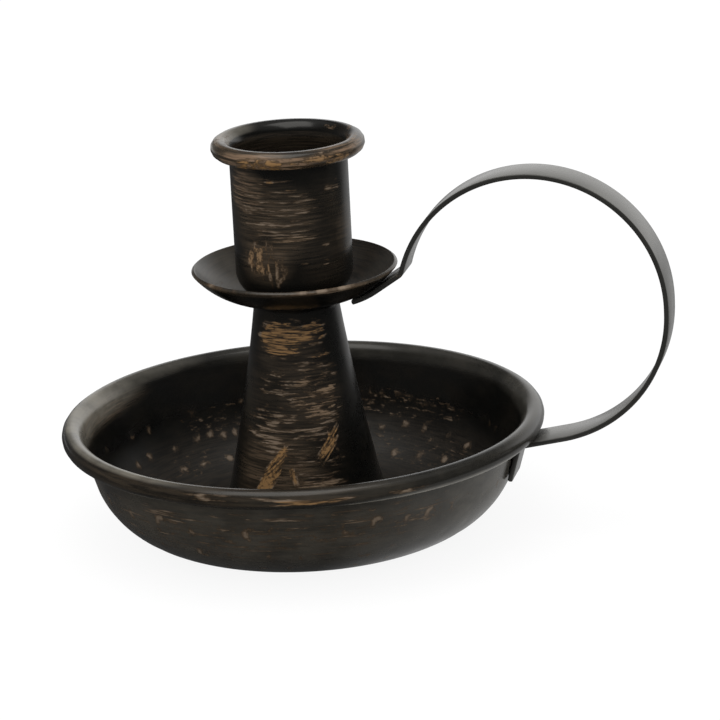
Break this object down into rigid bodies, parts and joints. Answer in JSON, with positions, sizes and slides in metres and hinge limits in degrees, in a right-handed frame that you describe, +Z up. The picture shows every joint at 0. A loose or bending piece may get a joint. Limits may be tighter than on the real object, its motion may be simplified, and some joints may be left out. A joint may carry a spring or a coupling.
{
  "type": "chamberstick",
  "caption": "Low candle holder: a rolled-rim drip pan, conical stem, dished tray and candle socket, with a flat strap bent into a round finger loop on one side.",
  "frame": {"origin": "on the candle's axis, in the plane that the pan stands on", "axes": "+X from the candle's axis towards the middle of the finger loop, +Y across the loop's strap, +Z up along the candle"},
  "size_m": [0.1506, 0.118, 0.098],
  "materials": {
    "antique_paint": "near-black satin paint, dry-brushed with worn gold",
    "black_paint": "plain near-black satin paint",
    "plated_steel": "dull zinc plate"
  },
  "bodies": {
    "root": {"drip_pan": "antique_paint", "stem": "antique_paint", "drip_tray": "antique_paint", "candle_socket": "antique_paint", "finger_loop": "black_paint", "tie_bolt": "plated_steel", "base_washer": "plated_steel", "base_nut": "plated_steel"}
  },
  "joints": []
}
